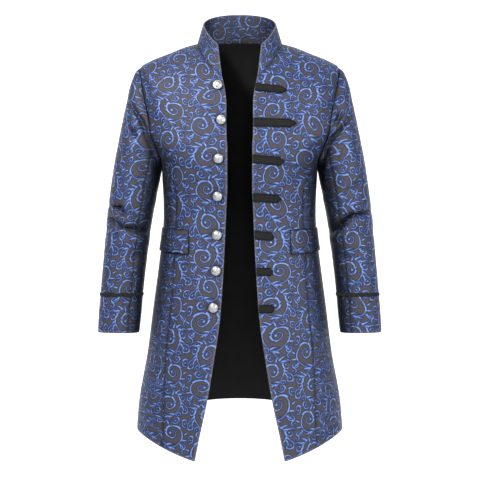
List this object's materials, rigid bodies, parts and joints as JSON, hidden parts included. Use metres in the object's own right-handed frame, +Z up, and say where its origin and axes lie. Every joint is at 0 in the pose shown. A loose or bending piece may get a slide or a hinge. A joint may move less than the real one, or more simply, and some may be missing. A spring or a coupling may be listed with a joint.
{
  "type": "frock coat",
  "caption": "Long stand-collar frock coat in a dark jacquard with blue scrolls, worn shape with no wearer, open front, domed metal buttons, black braid tabs, hip flaps.",
  "frame": {"origin": "midway between the two points where the collar meets the shoulders, where the wearer's neck and shoulders hold the coat", "axes": "+Z up, the coat's front faces -Y, the wearer's left is +X"},
  "size_m": [0.646, 0.3151, 1.0119],
  "materials": {
    "jacquard": "woven jacquard, dark grey ground with blue scrolls, soft satin sheen",
    "lining": "black satin lining",
    "braid": "black corded braid, matt",
    "silver": "polished silver-coloured metal"
  },
  "bodies": {
    "root": {"front_right": "jacquard", "front_left": "jacquard", "side_body_right": "jacquard", "side_body_left": "jacquard", "back_right": "jacquard", "back_left": "jacquard", "lining_back": "lining", "collar": "jacquard", "sleeve_top_right": "jacquard", "sleeve_top_left": "jacquard", "sleeve_under_right": "jacquard", "sleeve_under_left": "jacquard", "cuff_braid_right": "braid", "cuff_braid_left": "braid", "pocket_flap_right": "jacquard", "pocket_flap_left": "jacquard", "frog_tab_1": "braid", "frog_tab_2": "braid", "frog_tab_3": "braid", "frog_tab_4": "braid", "frog_tab_5": "braid", "frog_tab_6": "braid", "frog_tab_7": "braid", "button_1": "silver", "button_2": "silver", "button_3": "silver", "button_4": "silver", "button_5": "silver", "button_6": "silver", "button_7": "silver"}
  },
  "joints": []
}
